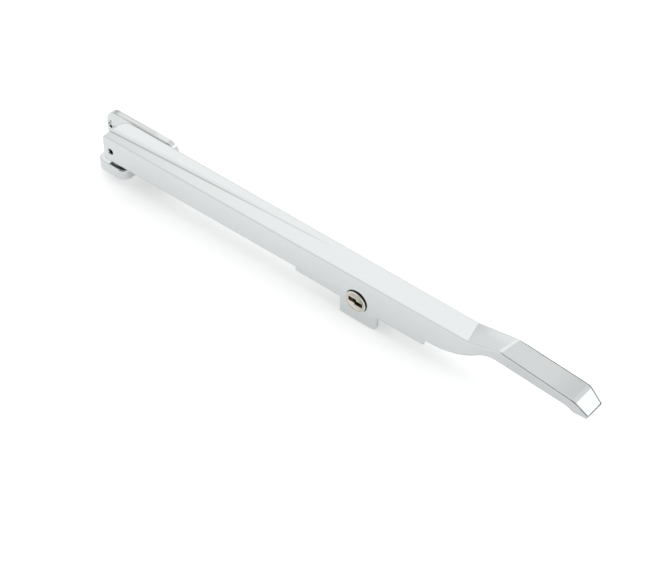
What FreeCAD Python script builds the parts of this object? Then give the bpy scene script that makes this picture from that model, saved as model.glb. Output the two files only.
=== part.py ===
import FreeCAD, Part
import math
import os

import Sketcher
from FreeCAD import Placement, Rotation, Vector

# Lockable casement stay: a cast arm that drops over pins, with a key lock in its side,
# carried by a riveted swivel on a bracket that is screwed to the sash.
#
# Frame: +X along the arm towards the handle, +Y towards the sash, +Z up.
# Origin: on the bracket's back face, midway between its two screw holes.

doc = FreeCAD.newDocument("casement_stay")
sheet = doc.addObject("Spreadsheet::Sheet", "Sizes")


# Sizes that carry their sheet expression along

class Size:
    """A number together with the sheet expression that it comes from."""

    def __init__(self, value, text):
        self.value = value
        self.text = text

    def __add__(self, other):
        return Size(self.value + number(other), "(%s + %s)" % (self.text, words(other)))

    def __radd__(self, other):
        return Size(number(other) + self.value, "(%s + %s)" % (words(other), self.text))

    def __sub__(self, other):
        return Size(self.value - number(other), "(%s - %s)" % (self.text, words(other)))

    def __rsub__(self, other):
        return Size(number(other) - self.value, "(%s - %s)" % (words(other), self.text))

    def __mul__(self, other):
        return Size(self.value * number(other), "(%s * %s)" % (self.text, words(other)))

    def __rmul__(self, other):
        return Size(number(other) * self.value, "(%s * %s)" % (words(other), self.text))

    def __truediv__(self, other):
        return Size(self.value / number(other), "(%s / %s)" % (self.text, words(other)))

    def __neg__(self):
        return Size(-self.value, "(-1 * %s)" % self.text)


def number(size):
    return size.value if isinstance(size, Size) else float(size)


def words(size):
    return size.text if isinstance(size, Size) else repr(size)


sheet_row = 0


def sized(alias, value, note):
    """Write one driving dimension to the sheet and return it as a Size."""
    global sheet_row
    sheet_row += 1
    sheet.set("A%d" % sheet_row, note)
    sheet.set("B%d" % sheet_row, str(value))
    sheet.setAlias("B%d" % sheet_row, alias)
    return Size(value, "Sizes.%s" % alias)


def bind(thing, path, size):
    """Set a property from a size; a plain number is set as it is."""
    thing.setExpression(path, words(size))


# Arm: lengths run from its pivot end, depths run down from its flat top
arm_reach = sized("arm_reach", 253.6, "pivot end to the tip's upper edge")
end_width = sized("end_width", 13.9, "arm's width at its pivot end")
fold_width = sized("fold_width", 11.7, "arm's width where the handle's ramp starts")
handle_length = sized("handle_length", 58.6, "start of the ramp to the tip's upper edge")
fold_skew = sized("fold_skew", 1.88, "how far the ramp's start runs out of square, each side")
wall_depth = sized("wall_depth", 12.45, "depth of the arm's side walls")
top_wall = sized("top_wall", 1.6, "thickness of the arm's top")
side_wall = sized("side_wall", 1.5, "thickness of the arm's sides")
lock_before_fold = sized("lock_before_fold", 53.9, "lock's axis to the start of the ramp")
skirt_before = sized("skirt_before", 32.5, "lock's axis back to the start of the skirt")
skirt_after = sized("skirt_after", 34.3, "lock's axis on to the end of the skirt")
skirt_drop = sized("skirt_drop", 2.55, "how far the skirt hangs below the walls before the tab")
rear_skirt_drop = sized("rear_skirt_drop", 3.15, "how far the skirt hangs below the walls after the tab")
skirt_inset = sized("skirt_inset", 0.25, "how far the first skirt lies behind the wall's face")
tab_before = sized("tab_before", 8.5, "lock's axis back to the tab's edge")
tab_after = sized("tab_after", 10.5, "lock's axis on to the tab's edge")
tab_drop = sized("tab_drop", 10.75, "how far the lock tab hangs below the walls")
belly_before_fold = sized("belly_before_fold", 17.0, "rise of the underside to the start of the ramp")
belly_length = sized("belly_length", 24.0, "length of the rising curve under the arm")
belly_depth = sized("belly_depth", 4.1, "depth at the end of the rising curve")
belly_radius = sized("belly_radius", 38.7, "radius of the rising curve")
neck_length = sized("neck_length", 8.0, "length of the hollow curve under the ramp")
neck_depth = sized("neck_depth", 1.65, "depth at the end of the hollow curve")
neck_radius = sized("neck_radius", 11.4, "radius of the hollow curve")
ramp_length = sized("ramp_length", 17.55, "length of the ramp")
root_skew = sized("root_skew", 1.1, "how far the ramp's top runs out of square, each side")
root_rise = sized("root_rise", 3.87, "height of the ramp's top above the arm")
root_width = sized("root_width", 10.8, "handle's width at the ramp's top")
grip_width = sized("grip_width", 11.6, "handle's width at the tip's fold")
grip_lean = sized("grip_lean", 0.6, "how far the grip's middle leans towards the flange at the tip's fold")
grip_corner_radius = sized("grip_corner_radius", 15.0, "plan radius of the grip's sides at the tip's fold")
tip_width = sized("tip_width", 9.43, "handle's width at its tip")
tip_length = sized("tip_length", 6.8, "fold of the tip to the tip's upper edge")
tip_fold_drop = sized("tip_fold_drop", 0.34, "depth of the tip's fold")
tip_drop = sized("tip_drop", 4.68, "depth of the tip's upper edge")
tip_edge = sized("tip_edge", 1.36, "thickness of the tip's edge")
tip_edge_slant = sized("tip_edge_slant", 0.5, "how far the tip's edge leans back at its foot")
under_fold_length = sized("under_fold_length", 10.2, "fold under the grip to the tip's upper edge")
under_fold_depth = sized("under_fold_depth", 4.44, "depth of the fold under the grip")
under_tip_length = sized("under_tip_length", 6.6, "flat under the tip to the tip's upper edge")
cavity_before_fold = sized("cavity_before_fold", 8.0, "end of the hollow underside to the start of the ramp")
far_corner_radius = sized("far_corner_radius", 4.6, "plan radius of the pivot end's corner by the flange")
ramp_fold_radius = sized("ramp_fold_radius", 4.0, "radius of the hollow fold where the ramp starts")
root_fold_radius = sized("root_fold_radius", 4.0, "radius of the fold at the ramp's top")
tip_fold_radius = sized("tip_fold_radius", 5.0, "radius of the fold at the handle's tip")
tab_corner_radius = sized("tab_corner_radius", 2.2, "radius of the tab's lower corner towards the handle")
tab_root_radius = sized("tab_root_radius", 1.0, "radius of the corner where the tab leaves the rear skirt")
top_edge_radius = sized("top_edge_radius", 0.45, "rounding of the arm's long top edges")

# Pockets inside the channel that stop the arm sliding along the pins
pocket_first = sized("pocket_first", 40.0, "pivot end to the middle of the first pin pocket")
pocket_to_lock = sized("pocket_to_lock", 35.1, "middle of the last pin pocket to the lock's axis")
pocket_count = sized("pocket_count", 4, "number of pin pockets")
pocket_length = sized("pocket_length", 9.2, "clear length of a pin pocket")
web_wall = sized("web_wall", 1.4, "thickness of the webs beside a pocket")
web_depth = sized("web_depth", 10.5, "depth of the webs from the arm's top")

# Cross pin and swivel
pivot_setback = sized("pivot_setback", 4.0, "arm's end to the cross pin and the swivel's axis")
pin_drop = sized("pin_drop", 7.1, "depth of the cross pin's axis")
pin_radius = sized("pin_radius", 1.6, "outside radius of the cross pin")
pin_tube_wall = sized("pin_tube_wall", 0.35, "wall of the tubular cross pin")
pin_recess = sized("pin_recess", 0.5, "how far the pin's ends lie inside the arm's faces")
pin_slit = sized("pin_slit", 0.7, "width of the pin's slit")
running_fit = sized("running_fit", 0.03, "radial clearance of a turning fit")
seat_fit = sized("seat_fit", 0.01, "radial clearance of a pressed or fixed fit")
face_fit = sized("face_fit", 0.05, "gap between faces that slide or seat on each other")
block_side_gap = sized("block_side_gap", 0.2, "gap between the swivel block and the arm's inside")
block_front = sized("block_front", 3.2, "swivel axis to the block's face at the arm's end")
block_back = sized("block_back", 7.0, "swivel axis to the block's face along the arm")
block_foot = sized("block_foot", 1.2, "height of the round foot under the block")
foot_radius = sized("foot_radius", 4.8, "radius of the block's round foot")
spigot_radius = sized("spigot_radius", 3.0, "radius of the spigot that turns in the lug")
rivet_radius = sized("rivet_radius", 4.2, "radius of the spigot's spread end")
rivet_height = sized("rivet_height", 0.8, "thickness of the spigot's spread end")
thrust_height = sized("thrust_height", 0.5, "thickness of the thrust washer")
thrust_radius = sized("thrust_radius", 5.0, "radius of the thrust washer")
disc_height = sized("disc_height", 0.75, "free height of the conical spring washer")
disc_sheet = sized("disc_sheet", 0.4, "thickness of the conical spring washer's sheet")
disc_radius = sized("disc_radius", 4.9, "radius of the conical spring washer")
rivet_washer_height = sized("rivet_washer_height", 0.6, "thickness of the washer under the rivet")
lift_ratio = sized("lift_ratio", 0.42, "sine of the angle through which the arm lifts")

# Bracket
flange_length = sized("flange_length", 41.4, "length of the fixing flange")
flange_wall = sized("flange_wall", 3.0, "thickness of the fixing flange")
flange_corner = sized("flange_corner", 6.0, "radius of the flange's corners")
flange_drop = sized("flange_drop", 0.5, "flange's top edge below the arm's top")
flange_edge_radius = sized("flange_edge_radius", 0.7, "rounding of the flange's front edge")
arm_gap = sized("arm_gap", 0.53, "gap between the arm's side and the flange")
screw_from_end = sized("screw_from_end", 3.2, "flange's end to the middle of a screw hole")
screw_below_top = sized("screw_below_top", 7.5, "flange's top edge to the screw holes")
screw_radius = sized("screw_radius", 1.7, "radius of the screw holes")
countersink_radius = sized("countersink_radius", 2.3, "radius of the countersinks at the flange's face")
pivot_from_middle = sized("pivot_from_middle", 4.5, "middle of the screw holes to the swivel's axis")
lug_left = sized("lug_left", 9.3, "swivel's axis to the lug's side at the arm's end")
lug_right = sized("lug_right", 8.2, "swivel's axis to the lug's side along the arm")
lug_front = sized("lug_front", 7.6, "swivel's axis to the lug's front")
lug_corner = sized("lug_corner", 4.6, "radius of the lug's front corners")
lug_height = sized("lug_height", 5.5, "thickness of the lug")
lug_gap = sized("lug_gap", 2.3, "gap between the arm's walls and the lug")
lug_edge_radius = sized("lug_edge_radius", 0.7, "rounding of the lug's top and bottom edges")
flange_below_lug = sized("flange_below_lug", 0.9, "lug's underside to the flange's lower edge")
counterbore_radius = sized("counterbore_radius", 5.3, "radius of the recess under the lug")

# Lock
lock_depth = sized("lock_depth", 12.45, "depth of the lock's axis")
barrel_radius = sized("barrel_radius", 5.2, "radius of the lock barrel")
barrel_proud = sized("barrel_proud", 0.75, "how far the barrel stands out of the arm's side")
barrel_length = sized("barrel_length", 8.0, "length of the lock barrel")
barrel_rim_radius = sized("barrel_rim_radius", 0.25, "rounding of the barrel's front rim")
boss_radius = sized("boss_radius", 6.4, "radius of the boss round the barrel inside the arm")
boss_depth = sized("boss_depth", 1.4, "how far the boss stands in from the side wall")
clip_radius = sized("clip_radius", 6.3, "outside radius of the barrel clip")
clip_groove_radius = sized("clip_groove_radius", 4.7, "radius of the barrel's clip groove")
clip_sheet = sized("clip_sheet", 0.7, "thickness of the barrel clip")
plug_radius = sized("plug_radius", 4.05, "radius of the plug's body")
plug_head_radius = sized("plug_head_radius", 4.6, "radius of the plug's head")
plug_head_height = sized("plug_head_height", 0.9, "thickness of the plug's head")
plug_recess = sized("plug_recess", 0.1, "how far the plug's face lies inside the barrel's")
keyway_length = sized("keyway_length", 7.2, "length of the keyway")
keyway_width = sized("keyway_width", 2.3, "width of each half of the keyway")
keyway_step = sized("keyway_step", 0.8, "sideways step between the keyway's two halves")
keyway_lap = sized("keyway_lap", 0.9, "how far the keyway's two halves overlap")
wafer_count = 4
wafer_first = sized("wafer_first", 1.9, "plug's face to the first wafer")
wafer_pitch = sized("wafer_pitch", 1.45, "distance from one wafer to the next")
wafer_sheet = sized("wafer_sheet", 0.75, "thickness of a wafer")
wafer_play = sized("wafer_play", 0.06, "gap between a wafer and its slot, each side")
wafer_half_width = sized("wafer_half_width", 2.15, "half the width of a wafer")
wafer_window = sized("wafer_window", 5.6, "length of a wafer's window")
wafer_window_width = sized("wafer_window_width", 2.2, "width of a wafer's window")
wafer_lug_start = sized("wafer_lug_start", 1.1, "plug's axis to the near side of a wafer's lug")
wafer_lug_end = sized("wafer_lug_end", 1.95, "plug's axis to the far side of a wafer's lug")
wafer_lug_height = sized("wafer_lug_height", 0.85, "how far a wafer's lug stands out")
chamber_end = sized("chamber_end", 2.05, "plug's axis to the end of a spring chamber")
spring_coil_radius = sized("spring_coil_radius", 0.33, "radius of a wafer spring's coil")
spring_wire_radius = sized("spring_wire_radius", 0.07, "radius of a wafer spring's wire")
spring_pitch = sized("spring_pitch", 0.42, "pitch of a wafer spring")
groove_reach = sized("groove_reach", 4.4, "plug's axis to the floor of the barrel's wafer grooves")
tail_radius = sized("tail_radius", 2.6, "radius of the plug's tail")
tail_flat = sized("tail_flat", 1.9, "plug's axis to the flats on its tail")
cam_sheet = sized("cam_sheet", 1.5, "thickness of the cam")
cam_hub_radius = sized("cam_hub_radius", 4.4, "radius of the cam's hub")
cam_reach = sized("cam_reach", 8.9, "plug's axis to the cam's tip")
cam_half_width = sized("cam_half_width", 2.4, "half the width of the cam's tongue")
lock_washer_sheet = sized("lock_washer_sheet", 0.4, "thickness of the cam's washer")
cam_screw_radius = sized("cam_screw_radius", 1.25, "radius of the cam screw's shank")
cam_screw_length = sized("cam_screw_length", 2.4, "length of the cam screw's shank")
cam_head_radius = sized("cam_head_radius", 2.3, "radius of the cam screw's head")
cam_head_height = sized("cam_head_height", 1.2, "height of the cam screw's head")
cam_slot_width = sized("cam_slot_width", 0.6, "width of the screwdriver slot")
cam_slot_depth = sized("cam_slot_depth", 0.6, "depth of the screwdriver slot")
doc.recompute()

# Places along the arm, measured from its pivot end, and depths below its top
fold_at = arm_reach - handle_length
root_at = fold_at + ramp_length
tip_fold_at = arm_reach - tip_length
lock_at = fold_at - lock_before_fold
belly_start = fold_at - belly_before_fold
belly_end = belly_start + belly_length
neck_end = belly_end + neck_length
cavity_end = fold_at - cavity_before_fold
skirt_start = lock_at - skirt_before
tab_start = lock_at - tab_before
tab_end = lock_at + tab_after
skirt_end = lock_at + skirt_after
skirt_depth = wall_depth + skirt_drop
rear_skirt_depth = wall_depth + rear_skirt_drop
tab_depth = wall_depth + tab_drop

# Places in the frame
pivot_x = -pivot_from_middle
pivot_y = -(flange_wall + arm_gap + end_width / 2)
flange_top = screw_below_top
arm_top = flange_top + flange_drop
pivot_z = arm_top - pin_drop
lug_top = arm_top - wall_depth - lug_gap
lug_bottom = lug_top - lug_height
LOOSE = 1.0         # how far a cutting shape reaches past what it cuts
LEAST_CUT = 1.0     # the least volume that counts as a cut, in cubic millimetres
ROLE_XY, ROLE_XZ, ROLE_YZ = "XY_Plane", "XZ_Plane", "YZ_Plane"
TO_PLUS_Y = Rotation(Vector(1, 0, 0), -90)
parts = []


# Helpers for bodies, sketches and primitives

def new_body(label, x=0, y=0, z=0):
    """An empty PartDesign body whose own origin lies at x, y, z of the frame."""
    body = doc.addObject("PartDesign::Body", label)
    body.Label = label
    bind(body, "Placement.Base.x", x)
    bind(body, "Placement.Base.y", y)
    bind(body, "Placement.Base.z", z)
    parts.append(body)
    return body


def new_sketch(body, role, name, lift=0):
    """A sketch on one of the body's own origin planes, lifted along the plane's normal."""
    sketch = body.newObject("Sketcher::SketchObject", name)
    plane = [item for item in body.Origin.OriginFeatures if item.Role == role][0]
    sketch.AttachmentSupport = [(plane, "")]
    sketch.MapMode = "FlatFace"
    bind(sketch, "AttachmentOffset.Base.z", lift)
    return sketch


def pin_point(sketch, edge, point, x, y):
    """Hold one point of an edge at a sized place."""
    for kind, size in (("DistanceX", x), ("DistanceY", y)):
        index = sketch.addConstraint(Sketcher.Constraint(kind, -1, 1, edge, point, number(size)))
        bind(sketch, "Constraints[%d]" % index, size)


def draw_outline(sketch, corners, arcs=None):
    """Draw a closed outline. arcs maps a corner's number to (radius, turn) of the edge after it."""
    arcs = arcs or {}
    points = [Vector(number(x), number(y), 0) for x, y in corners]
    edges = []
    for index, start in enumerate(points):
        end = points[(index + 1) % len(points)]
        if index in arcs:
            radius, turn = arcs[index]
            chord = end - start
            sag = number(radius) - math.sqrt(number(radius) ** 2 - (chord.Length / 2) ** 2)
            aside = Vector(chord.y, -chord.x, 0).normalize() * (sag * turn)
            edge = sketch.addGeometry(Part.Arc(start, (start + end) / 2 + aside, end), False)
            edges.append((edge, 1 if turn > 0 else 2, 2 if turn > 0 else 1))
            limit = sketch.addConstraint(Sketcher.Constraint("Radius", edge, number(radius)))
            bind(sketch, "Constraints[%d]" % limit, radius)
        else:
            edge = sketch.addGeometry(Part.LineSegment(start, end), False)
            edges.append((edge, 1, 2))
    for index, (edge, first, last) in enumerate(edges):
        following, joint, _ = edges[(index + 1) % len(edges)]
        sketch.addConstraint(Sketcher.Constraint("Coincident", edge, last, following, joint))
        pin_point(sketch, edge, first, *corners[index])
    return sketch


def draw_box(sketch, low_x, low_y, high_x, high_y):
    """Draw a rectangle between two sized corners."""
    corners = [(low_x, low_y), (high_x, low_y), (high_x, high_y), (low_x, high_y)]
    return draw_outline(sketch, corners)


def draw_circle(sketch, x, y, radius):
    """Draw a circle of a sized radius at a sized place."""
    middle = Vector(number(x), number(y), 0)
    edge = sketch.addGeometry(Part.Circle(middle, Vector(0, 0, 1), number(radius)), False)
    limit = sketch.addConstraint(Sketcher.Constraint("Radius", edge, number(radius)))
    bind(sketch, "Constraints[%d]" % limit, radius)
    pin_point(sketch, edge, 3, x, y)
    return sketch


def pad(body, sketch, length, backwards=False, both_ways=False):
    """Grow a sketch into the body."""
    feature = body.newObject("PartDesign::Pad", sketch.Name + "_pad")
    feature.Profile = sketch
    bind(feature, "Length", length)
    feature.Reversed = backwards
    feature.Midplane = both_ways
    doc.recompute()
    return feature


def pocket(body, sketch, length=None, backwards=False, both_ways=False):
    """Cut a sketch out of the body, and make sure that it has cut something."""
    before = body.Shape.Volume
    feature = body.newObject("PartDesign::Pocket", sketch.Name + "_pocket")
    feature.Profile = sketch
    if length is None:
        feature.Type = "ThroughAll"
    else:
        bind(feature, "Length", length)
    feature.Reversed = backwards
    feature.Midplane = both_ways
    doc.recompute()
    if body.Shape.Volume > before - LEAST_CUT:
        raise RuntimeError("%s cuts nothing" % feature.Name)
    return feature


def edges_where(body, test):
    """Names of the edges of the body's tip whose middle point and direction pass a test."""
    shape = body.Tip.Shape
    names = []
    for index, edge in enumerate(shape.Edges):
        middle = edge.valueAt((edge.FirstParameter + edge.LastParameter) / 2)
        along = edge.tangentAt((edge.FirstParameter + edge.LastParameter) / 2)
        if test(middle, along, edge):
            names.append("Edge%d" % (index + 1))
    if not names:
        raise RuntimeError("no edge to round on %s" % body.Label)
    return names


def edge_nearest(body, x, y, z):
    """Name of the edge of the body's tip whose middle lies nearest to a place."""
    place_wanted = Vector(number(x), number(y), number(z))
    edges = body.Tip.Shape.Edges
    gaps = [(e.valueAt((e.FirstParameter + e.LastParameter) / 2) - place_wanted).Length for e in edges]
    return "Edge%d" % (gaps.index(min(gaps)) + 1)


def fillet(body, names, radius):
    """Round the named edges of the body's tip."""
    base = body.Tip
    feature = body.newObject("PartDesign::Fillet", body.Name + "_round")
    feature.Base = (base, names)
    bind(feature, "Radius", radius)
    doc.recompute()
    if "Invalid" in feature.State:
        raise RuntimeError("%s cannot be rounded" % body.Label)
    return feature


def close(a, b, limit=0.02):
    return abs(number(a) - number(b)) < limit


def place(thing, x, y, z, turn=None):
    """Put a primitive at a sized place, turned as asked."""
    thing.Placement = Placement(Vector(0, 0, 0), turn or Rotation())
    bind(thing, "Placement.Base.x", x)
    bind(thing, "Placement.Base.y", y)
    bind(thing, "Placement.Base.z", z)
    return thing


def box(name, low, high):
    """A block between two sized corners."""
    thing = doc.addObject("Part::Box", name)
    for side, start, end in zip(("Length", "Width", "Height"), low, high):
        bind(thing, side, end - start)
    return place(thing, *low)


def cylinder(name, radius, start, end, x, z):
    """A cylinder along Y from start to end, about an axis at x, z."""
    thing = doc.addObject("Part::Cylinder", name)
    bind(thing, "Radius", radius)
    bind(thing, "Height", end - start)
    return place(thing, x, start, z, TO_PLUS_Y)


def fused(name, things):
    result = doc.addObject("Part::MultiFuse", name)
    result.Shapes = things
    result.Refine = True
    return result


def cut(name, base, tools):
    """base less all the tools."""
    result = doc.addObject("Part::Cut", name)
    result.Base = base
    result.Tool = tools[0] if len(tools) == 1 else fused(name + "_tools", tools)
    result.Refine = True
    return result


def common(name, one, other):
    result = doc.addObject("Part::Common", name)
    result.Base = one
    result.Tool = other
    return result


def keep(thing, label):
    """Name a finished piece and list it for export."""
    thing.Label = label
    parts.append(thing)
    return thing


# Arm casting: its own origin is where the swivel's axis meets the cross pin's

arm = new_body("arm_casting", pivot_x, pivot_y, pivot_z)
half_loft = end_width / 2


def along(distance):
    """From the arm's pivot end to the body's own X."""
    return distance - pivot_setback


def down(depth):
    """From the arm's top to the body's own Z."""
    return pin_drop - depth


def half_width(distance):
    """Half the arm's width at a distance from its pivot end."""
    return (end_width - (end_width - fold_width) * distance / fold_at) / 2


def side_outline(fold_shift, root_shift):
    """The arm's outline seen from the side, with the ramp's two folds shifted along the arm."""
    return [
        (along(0), down(0)),
        (along(0), down(wall_depth)),
        (along(skirt_start), down(wall_depth)),
        (along(skirt_start), down(skirt_depth)),
        (along(tab_start), down(skirt_depth)),
        (along(tab_start), down(tab_depth)),
        (along(tab_end), down(tab_depth)),
        (along(tab_end), down(rear_skirt_depth)),
        (along(skirt_end), down(rear_skirt_depth)),
        (along(skirt_end), down(wall_depth)),
        (along(belly_start), down(wall_depth)),
        (along(belly_end), down(belly_depth)),
        (along(neck_end), down(neck_depth)),
        (along(arm_reach - under_fold_length), down(under_fold_depth)),
        (along(arm_reach - under_tip_length), down(tip_drop + tip_edge)),
        (along(arm_reach - tip_edge_slant), down(tip_drop + tip_edge)),
        (along(arm_reach), down(tip_drop)),
        (along(tip_fold_at), down(tip_fold_drop)),
        (along(root_at + root_shift), down(-root_rise)),
        (along(fold_at + fold_shift), down(0)),
    ]


BELLY_EDGE, NECK_EDGE = 10, 11
side_arcs = {BELLY_EDGE: (belly_radius, 1), NECK_EDGE: (neck_radius, -1)}
near_side = new_sketch(arm, ROLE_XZ, "near_side", half_loft)
draw_outline(near_side, side_outline(fold_skew, -root_skew), side_arcs)
far_side = new_sketch(arm, ROLE_XZ, "far_side", -half_loft)
draw_outline(far_side, side_outline(-fold_skew, root_skew), side_arcs)
arm_loft = arm.newObject("PartDesign::AdditiveLoft", "arm_loft")
arm_loft.Profile = near_side
arm_loft.Sections = [far_side]
arm_loft.Ruled = True
doc.recompute()

# The arm tapers in plan, and the handle tapers further
for side, name in ((-1, "near_taper"), (1, "far_taper")):
    outside = side * (half_loft + LOOSE)
    fold_x = fold_at - side * fold_skew * fold_width / end_width
    root_x = root_at + side * root_skew * root_width / end_width
    taper = new_sketch(arm, ROLE_XY, name)
    draw_outline(taper, [
        (along(0), side * half_width(0)),
        (along(fold_x), side * fold_width / 2),
        (along(root_x), side * root_width / 2),
        (along(tip_fold_at), side * grip_width / 2 + grip_lean),
        (along(arm_reach), side * tip_width / 2),
        (along(arm_reach) + LOOSE, side * tip_width / 2),
        (along(arm_reach) + LOOSE, outside),
        (along(0), outside),
    ])
    pocket(arm, taper, both_ways=True)

# The tab's corners towards the handle are rounded
fillet(arm, [edge_nearest(arm, along(tab_end), 0, down(tab_depth))], tab_corner_radius)
fillet(arm, [edge_nearest(arm, along(tab_end), 0, down(rear_skirt_depth))], tab_root_radius)

# The corner beside the flange is round in plan, so that the arm's end clears the flange
end_x = number(along(0))
fillet(arm, edges_where(arm, lambda p, t, e: close(p.x, end_x) and p.y > 0 and abs(t.z) > 0.99), far_corner_radius)

# The grip's sides turn in towards the tip on a wide curve
tip_fold_x = number(along(tip_fold_at))
fillet(arm, edges_where(arm, lambda p, t, e: close(p.x, tip_fold_x) and abs(t.z) > 0.99), grip_corner_radius)

# The folds across the top are eased first, so that the long top edges run on without a corner


def top_edge(x, side, depth):
    """The edge nearest to a place on the arm's top; side is -1, 0 or 1 for near, middle and far."""
    return edge_nearest(arm, along(x), side * half_width(x), down(depth))


fillet(arm, [top_edge(fold_at, 0, 0)], ramp_fold_radius)
fillet(arm, [top_edge(root_at, 0, -root_rise)], root_fold_radius)
fillet(arm, [top_edge(tip_fold_at, 0, tip_fold_drop)], tip_fold_radius)
fillet(arm, [top_edge(fold_at / 2, side, 0) for side in (-1, 1)], top_edge_radius)

# Hollow underside: open at the pivot end and closed before the handle
cavity = new_sketch(arm, ROLE_XY, "cavity", down(top_wall))
inner_end = half_width(0) - side_wall
inner_cavity_end = half_width(cavity_end) - side_wall
draw_outline(cavity, [
    (along(0) - LOOSE, -inner_end),
    (along(0), -inner_end),
    (along(cavity_end), -inner_cavity_end),
    (along(cavity_end), inner_cavity_end),
    (along(0), inner_end),
    (along(0) - LOOSE, inner_end),
])
pocket(arm, cavity)

# Two webs beside each pin pocket, repeated along the channel
webs = new_sketch(arm, ROLE_XY, "webs", down(top_wall) + LOOSE / 2)
web_half = half_width(pocket_first) - side_wall / 2
for offset in (-pocket_length / 2 - web_wall, pocket_length / 2):
    draw_box(webs, along(pocket_first) + offset, -web_half, along(pocket_first) + offset + web_wall, web_half)
webs_pad = pad(arm, webs, web_depth - top_wall + LOOSE / 2, backwards=True)
web_row = arm.newObject("PartDesign::LinearPattern", "web_row")
web_row.Originals = [webs_pad]
web_row.Direction = (webs, ["H_Axis"])
bind(web_row, "Length", lock_at - pocket_to_lock - pocket_first)
bind(web_row, "Occurrences", pocket_count)
arm.Tip = web_row
doc.recompute()

# Boss and bore for the lock barrel, in the side away from the sash
lock_x = along(lock_at)
lock_z = down(lock_depth)
lock_wall = half_width(lock_at)
boss = new_sketch(arm, ROLE_XZ, "boss", lock_wall - side_wall / 2)
draw_circle(boss, lock_x, lock_z, boss_radius)
pad(arm, boss, side_wall / 2 + boss_depth, backwards=True)
barrel_bore = new_sketch(arm, ROLE_XZ, "barrel_bore", lock_wall + LOOSE)
draw_circle(barrel_bore, lock_x, lock_z, barrel_radius + seat_fit)
pocket(arm, barrel_bore, LOOSE + side_wall + boss_depth + LOOSE)

# Holes for the cross pin, right through both walls
pin_holes = new_sketch(arm, ROLE_XZ, "pin_holes")
draw_circle(pin_holes, 0, 0, pin_radius + seat_fit)
pocket(arm, pin_holes, both_ways=True)

# The skirt before the tab lies a little behind the wall's face
inset = new_sketch(arm, ROLE_XZ, "inset", half_width(skirt_start) + LOOSE)
draw_box(inset, along(skirt_start) - LOOSE, down(skirt_depth) - LOOSE, along(tab_start), down(wall_depth))
pocket(arm, inset, LOOSE + skirt_inset)


# Bracket: flange against the sash, and a lug that reaches under the arm's end

bracket = new_body("pivot_bracket")
flange = new_sketch(bracket, ROLE_XZ, "flange")
draw_box(flange, -flange_length / 2, lug_bottom - flange_below_lug, flange_length / 2, flange_top)
pad(bracket, flange, flange_wall)
fillet(bracket, edges_where(bracket, lambda p, t, e: abs(t.y) > 0.99), flange_corner)
front_y = -number(flange_wall)
fillet(bracket, edges_where(bracket, lambda p, t, e: close(p.y, front_y)), flange_edge_radius)
lug = new_sketch(bracket, ROLE_XY, "lug", lug_bottom)
draw_box(lug, pivot_x - lug_left, pivot_y - lug_front, pivot_x + lug_right, -flange_wall / 2)
pad(bracket, lug, lug_height)
lug_front_y = number(pivot_y - lug_front)
fillet(bracket, edges_where(bracket, lambda p, t, e: close(p.y, lug_front_y) and abs(t.z) > 0.99), lug_corner)
lug_corner_y = number(pivot_y - lug_front + lug_corner)


def on_lug_rim(p, t, e):
    """The free edges of the lug's top and underside."""
    level = close(p.z, lug_bottom) or close(p.z, lug_top)
    return level and p.y < lug_corner_y and abs(t.z) < 0.01


fillet(bracket, edges_where(bracket, on_lug_rim), lug_edge_radius)
spigot_bore = new_sketch(bracket, ROLE_XY, "spigot_bore", lug_top + LOOSE)
draw_circle(spigot_bore, pivot_x, pivot_y, spigot_radius + running_fit)
pocket(bracket, spigot_bore, lug_height + 2 * LOOSE)
stack_height = disc_height + rivet_washer_height + rivet_height + 4 * face_fit
counterbore = new_sketch(bracket, ROLE_XY, "counterbore", lug_bottom)
draw_circle(counterbore, pivot_x, pivot_y, counterbore_radius)
pocket(bracket, counterbore, stack_height, backwards=True)
for side, name in ((-1, "screw_hole_left"), (1, "screw_hole_right")):
    cone = new_sketch(bracket, ROLE_XY, name)
    rise = countersink_radius - screw_radius
    hole_x = side * (flange_length / 2 - screw_from_end)
    draw_outline(cone, [
        (hole_x, LOOSE),
        (hole_x + screw_radius, LOOSE),
        (hole_x + screw_radius, rise - flange_wall),
        (hole_x + countersink_radius, -flange_wall),
        (hole_x + countersink_radius, -flange_wall - LOOSE),
        (hole_x, -flange_wall - LOOSE),
    ])
    turned = bracket.newObject("PartDesign::Groove", name + "_groove")
    volume = bracket.Shape.Volume
    turned.Profile = cone
    turned.ReferenceAxis = (cone, ["Edge6"])
    turned.Angle = 360
    doc.recompute()
    if bracket.Shape.Volume > volume - LEAST_CUT:
        raise RuntimeError("%s cuts nothing" % name)


# Swivel block: turns in the lug on its spigot and carries the cross pin

swivel = new_body("swivel_block", pivot_x, pivot_y, pivot_z)
ceiling = pin_drop - top_wall - face_fit
lug_top_below = lug_top - pivot_z
foot_bottom = lug_top_below + thrust_height + 2 * face_fit
foot_top = foot_bottom + block_foot
lift_cosine = math.sqrt(1 - number(lift_ratio) ** 2)
stop_rise = (ceiling - block_front * lift_ratio) / lift_cosine
block = new_sketch(swivel, ROLE_XZ, "block")
TOP_ARC = 3
draw_outline(block, [
    (-block_front, foot_top),
    (block_back, foot_top),
    (block_back, ceiling),
    (0 * ceiling, ceiling),
    (-ceiling * lift_ratio, ceiling * lift_cosine),
    (-block_front, stop_rise),
], {TOP_ARC: (ceiling, 1)})
inner_half = half_width(block_back + pivot_setback) - side_wall
pad(swivel, block, 2 * (inner_half - block_side_gap), both_ways=True)
foot = new_sketch(swivel, ROLE_XY, "foot", foot_bottom)
draw_circle(foot, 0, 0, foot_radius)
pad(swivel, foot, block_foot)
spigot = new_sketch(swivel, ROLE_XY, "spigot", foot_bottom)
draw_circle(spigot, 0, 0, spigot_radius)
rivet_top = lug_top_below - lug_height + rivet_height
pad(swivel, spigot, foot_bottom - rivet_top, backwards=True)
rivet = new_sketch(swivel, ROLE_XY, "rivet", rivet_top)
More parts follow.
